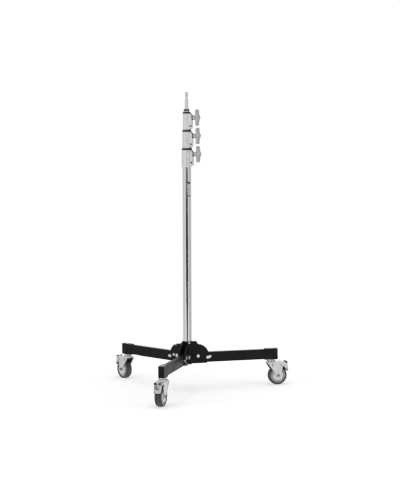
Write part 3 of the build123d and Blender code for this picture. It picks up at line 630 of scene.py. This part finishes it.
def wheel_covers(leg):
    """Pale round cover and grey rim lip on each side of the wheel."""
    for name, side in (("near", -1), ("far", 1)):
        shape = bmesh.new()
        face = WHEEL_HALF + 0.45
        profile = [(8.9, face - 0.4), (8.9, face + 1.6), (9.6, face + 2.0), (11.0, face + 1.2),
                   (13.5, face + 0.5), (20.6, face + 0.35), (21.2, face + 0.7), (23.2, face + 0.7),
                   (23.9, face + 0.2), (23.9, face - 0.4)]
        lathe(shape, [(r, side * h) for r, h in profile], 72, "Y", (TRAIL, 0, WHEEL_R), closed=True)
        add_piece(f"wheel_cover_{name}_{leg}", shape, "wheel_grey", f"wheel_{leg}", caster_frame(leg),
                  material=MATERIALS["wheel_cover"])
        lip = bmesh.new()
        ring = [(30.2, 12.4), (30.2, 13.0), (30.8, 13.3), (33.2, 13.3), (33.8, 13.0), (33.8, 12.4)]
        lathe(lip, [(r, side * h) for r, h in ring], 72, "Y", (TRAIL, 0, WHEEL_R), closed=True)
        add_piece(f"rim_lip_{name}_{leg}", lip, "wheel_grey", f"wheel_{leg}", caster_frame(leg))


def tyre_grooves(leg):
    """Tyre with two thin moulding lines round its tread and a bead step on each side."""
    shape = bmesh.new()
    half = [(30.1, 11.8), (32.0, 12.8), (34.2, 12.8), (35.0, 13.9), (37.0, 14.0), (38.6, 13.7),
            (40.2, 12.6), (41.3, 10.9), (41.85, 8.6), (41.95, 6.4), (41.6, 6.1), (41.6, 5.7),
            (41.97, 5.4), (42.0, 0.0)]
    outline = [(r, -h) for r, h in half] + [(r, h) for r, h in reversed(half[:-1])]
    lathe(shape, outline, 96, "Y", (TRAIL, 0, WHEEL_R), closed=True)
    add_piece(f"tyre_moulding_{leg}", shape, "tyre", f"wheel_{leg}", caster_frame(leg),
              replaces=[f"tyre_{leg}"])


def sheet(shape, path, thickness, y_low, y_high):
    """Bent sheet: a path of (x, z) points thickened on its right and drawn between two y."""
    ring = []
    for side in (0, 1):
        row = []
        for i, point in enumerate(path):
            before, after = path[max(i - 1, 0)], path[min(i + 1, len(path) - 1)]
            along = Vector((after[0] - before[0], after[1] - before[1])).normalized()
            row.append((point[0] + along.y * thickness * side, point[1] - along.x * thickness * side))
        ring += row if side == 0 else row[::-1]
    bridge(shape, [[Vector((x, y, z)) for x, z in ring] for y in (y_low, y_high)])


def arc(centre, radius, start, end, count):
    """Points along an arc in the X-Z plane, angles in degrees."""
    points = []
    for i in range(count + 1):
        turn = math.radians(start + (end - start) * i / count)
        points.append((centre[0] + radius * math.cos(turn), centre[1] + radius * math.sin(turn)))
    return points


def prism(shape, outline, y_low, y_high):
    """Closed outline of (x, z) points drawn between two y."""
    bridge(shape, [[Vector((x, y, z)) for x, z in outline] for y in (y_low, y_high)])


def pedal_plate(leg):
    """Bent plate with a curled lip, a pivot tube and a flange on each side."""
    x, z = PEDAL_PIVOT
    shape = bmesh.new()
    shoe = [(x + 4.5, z + 1.6), (55.5, 84.6), (60.5, 81.4), (65.0, 77.9), (69.0, 73.6), (73.2, 69.0),
            (77.0, 64.9), (79.3, 62.9)]
    tread = [(x + 2, z + 0.4), (x + 11.5, z - 0.9), (60.0, 91.0), (64.8, 97.0), (68.4, 102.2)]
    flange = [(x + 10, z - 5), (x + 10, z - 2), (68.8, 96.6), (73.2, 94.0), (74.7, 79.0),
              (78.2, 64.4), (65.0, 77.4)]
    tube = [(3.2, -PEDAL_HALF), (5.1, -PEDAL_HALF), (5.1, PEDAL_HALF), (3.2, PEDAL_HALF)]
    sheet(shape, shoe, PEDAL_SHEET, -PEDAL_HALF, PEDAL_HALF)
    sheet(shape, tread, PEDAL_SHEET, -PEDAL_HALF, PEDAL_HALF)
    lathe(shape, tube, 32, "Y", (x, 0, z), closed=True)
    prism(shape, flange, -PEDAL_HALF, -FLANGE_INNER)
    prism(shape, flange, FLANGE_INNER, PEDAL_HALF)
    plate = add_piece(f"pedal_plate_{leg}", shape, "zinc_plate", f"pedal_{leg}", caster_frame(leg),
                      replaces=[f"brake_pedal_{leg}"])
    applied(plate, ("BEVEL", {"width": 0.5 * MM, "segments": 2, "limit_method": "ANGLE"}))


def brake_shoe_and_shade(leg):
    """Black shoe that fills the space between the pedal's plate and the tyre; its black also stands in for the
    shade under the plate: partly painted shade.
    """
    shape = bmesh.new()
    inner = arc((TRAIL, WHEEL_R), WHEEL_R + 0.7, 66, 36, 10)
    outer = [(77.0, 60.2), (74.9, 63.2), (70.9, 67.6), (66.8, 72.1), (62.9, 76.0), (58.8, 78.9),
             (54.3, 81.6), (49.0, 84.3)]
    prism(shape, inner + outer, -BLOCK_HALF, BLOCK_HALF)
    add_piece(f"brake_shoe_and_shade_{leg}", shape, "zinc_plate", f"pedal_{leg}", caster_frame(leg),
              material=MATERIALS["black_rubber"])


def pedal_pads(leg):
    """Black pads on both ends of the pedal's rolled tip."""
    shape = bmesh.new()
    half = [(0.4, 14.4), (3.6, 14.4), (4.5, 13.4), (4.5, 5.2), (3.6, 4.2), (0.4, 4.2)]
    for side in (-1, 1):
        lathe(shape, [(r, side * h) for r, h in half], 32, "Y", (PEDAL_TIP[0], 0, PEDAL_TIP[1]))
    add_piece(f"pedal_pad_{leg}", shape, "zinc_plate", f"pedal_{leg}", caster_frame(leg),
              material=MATERIALS["black_rubber"])


def swivel_seal(leg):
    """Dark seal between the two races of the swivel."""
    shape = bmesh.new()
    ring = [(15.1, 106.6), (16.2, 107.6), (17.6, 108.0), (18.6, 107.7), (18.6, 107.3), (15.1, 106.2)]
    lathe(shape, ring, 48, "Z", closed=True)
    add_piece(f"swivel_seal_{leg}", shape, "zinc_plate", f"caster_{leg}", caster_frame(leg),
              material=MATERIALS["black_rubber"])


def slot_shade_strips(leg):
    """Black strip behind the upright slot of each fork plate: painted shade for the fold between the plate and its
    front flange.
    """
    shape = bmesh.new()
    corners = [(-1.5, 83.5), (6.5, 83.5), (6.5, 98.0), (-1.5, 98.0)]
    near, far = SHADE_STRIP_FACES
    for side in (-1, 1):
        prism(shape, corners, side * near, side * far)
    add_piece(f"slot_shade_strip_{leg}", shape, "zinc_plate", f"caster_{leg}", caster_frame(leg),
              material=MATERIALS["black_rubber"])


def make_casters():
    """Wheel, pedal and swivel detail on all three casters."""
    for leg in LEGS:
        wheel_covers(leg)
        tyre_grooves(leg)
        pedal_plate(leg)
        brake_shoe_and_shade(leg)
        pedal_pads(leg)
        swivel_seal(leg)
        slot_shade_strips(leg)


# ======================= hub =======================

WELD_X = 19.6             # each weld bead, from the column's axis
WELD_SIDE = 15.2
WELD_HEIGHTS = (118, 197)


def weld_bead(shape, x, y, low, high, lean):
    """Upright bead with the ripples of a hand weld."""
    rings = []
    steps = 60
    for i in range(steps + 1):
        z = low + (high - low) * i / steps
        size = 1.5 + 0.28 * math.sin(i * 2.1)
        ring = []
        for k in range(10):
            turn = 2 * math.pi * k / 10
            ring.append(Vector((x + size * math.cos(turn), y + lean * size * 0.9 * math.sin(turn), z)))
        rings.append(ring)
    bridge(shape, rings)


def hub_welds(leg):
    """Weld beads where a leg's two cheeks meet the hub sleeve."""
    shape = bmesh.new()
    for side in (-1, 1):
        weld_bead(shape, WELD_X, side * WELD_SIDE, *WELD_HEIGHTS, side)
    add_piece(f"hub_welds_{leg}", shape, "black_paint", "base", leg_frame(leg))


def make_hub():
    """Welds on the hub."""
    for leg in LEGS:
        hub_welds(leg)


dress_frame()
make_handles()
make_casters()
make_hub()
make_camera()
make_floor()
make_lights()
make_world()
bpy.context.scene.view_settings.view_transform = "Standard"
